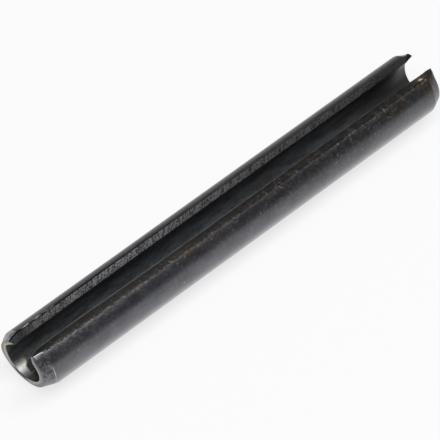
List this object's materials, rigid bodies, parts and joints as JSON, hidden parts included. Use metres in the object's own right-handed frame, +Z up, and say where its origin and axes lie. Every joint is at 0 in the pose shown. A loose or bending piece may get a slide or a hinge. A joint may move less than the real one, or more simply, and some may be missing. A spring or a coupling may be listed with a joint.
{
  "type": "spring roll pin",
  "caption": "Slotted spring pin rolled from blackened spring steel strip, with an open slot along its length and tapered ends; it is driven into a drilled hole and grips by springing outwards.",
  "frame": {"origin": "on the pin's axis, at mid length", "axes": "X along the pin's axis, with the slightly out-of-square end at -X; +Z up, through the slot, as the pin lies at rest; +Y towards the lip that the slot cuts closer to the top"},
  "size_m": [0.0503, 0.0064, 0.0061],
  "materials": {
    "blackened_spring_steel": "oiled black oxide over rolled spring steel, semi-gloss outside, striated on the slit faces"
  },
  "bodies": {
    "root": {"spring_pin": "blackened_spring_steel"}
  },
  "joints": []
}
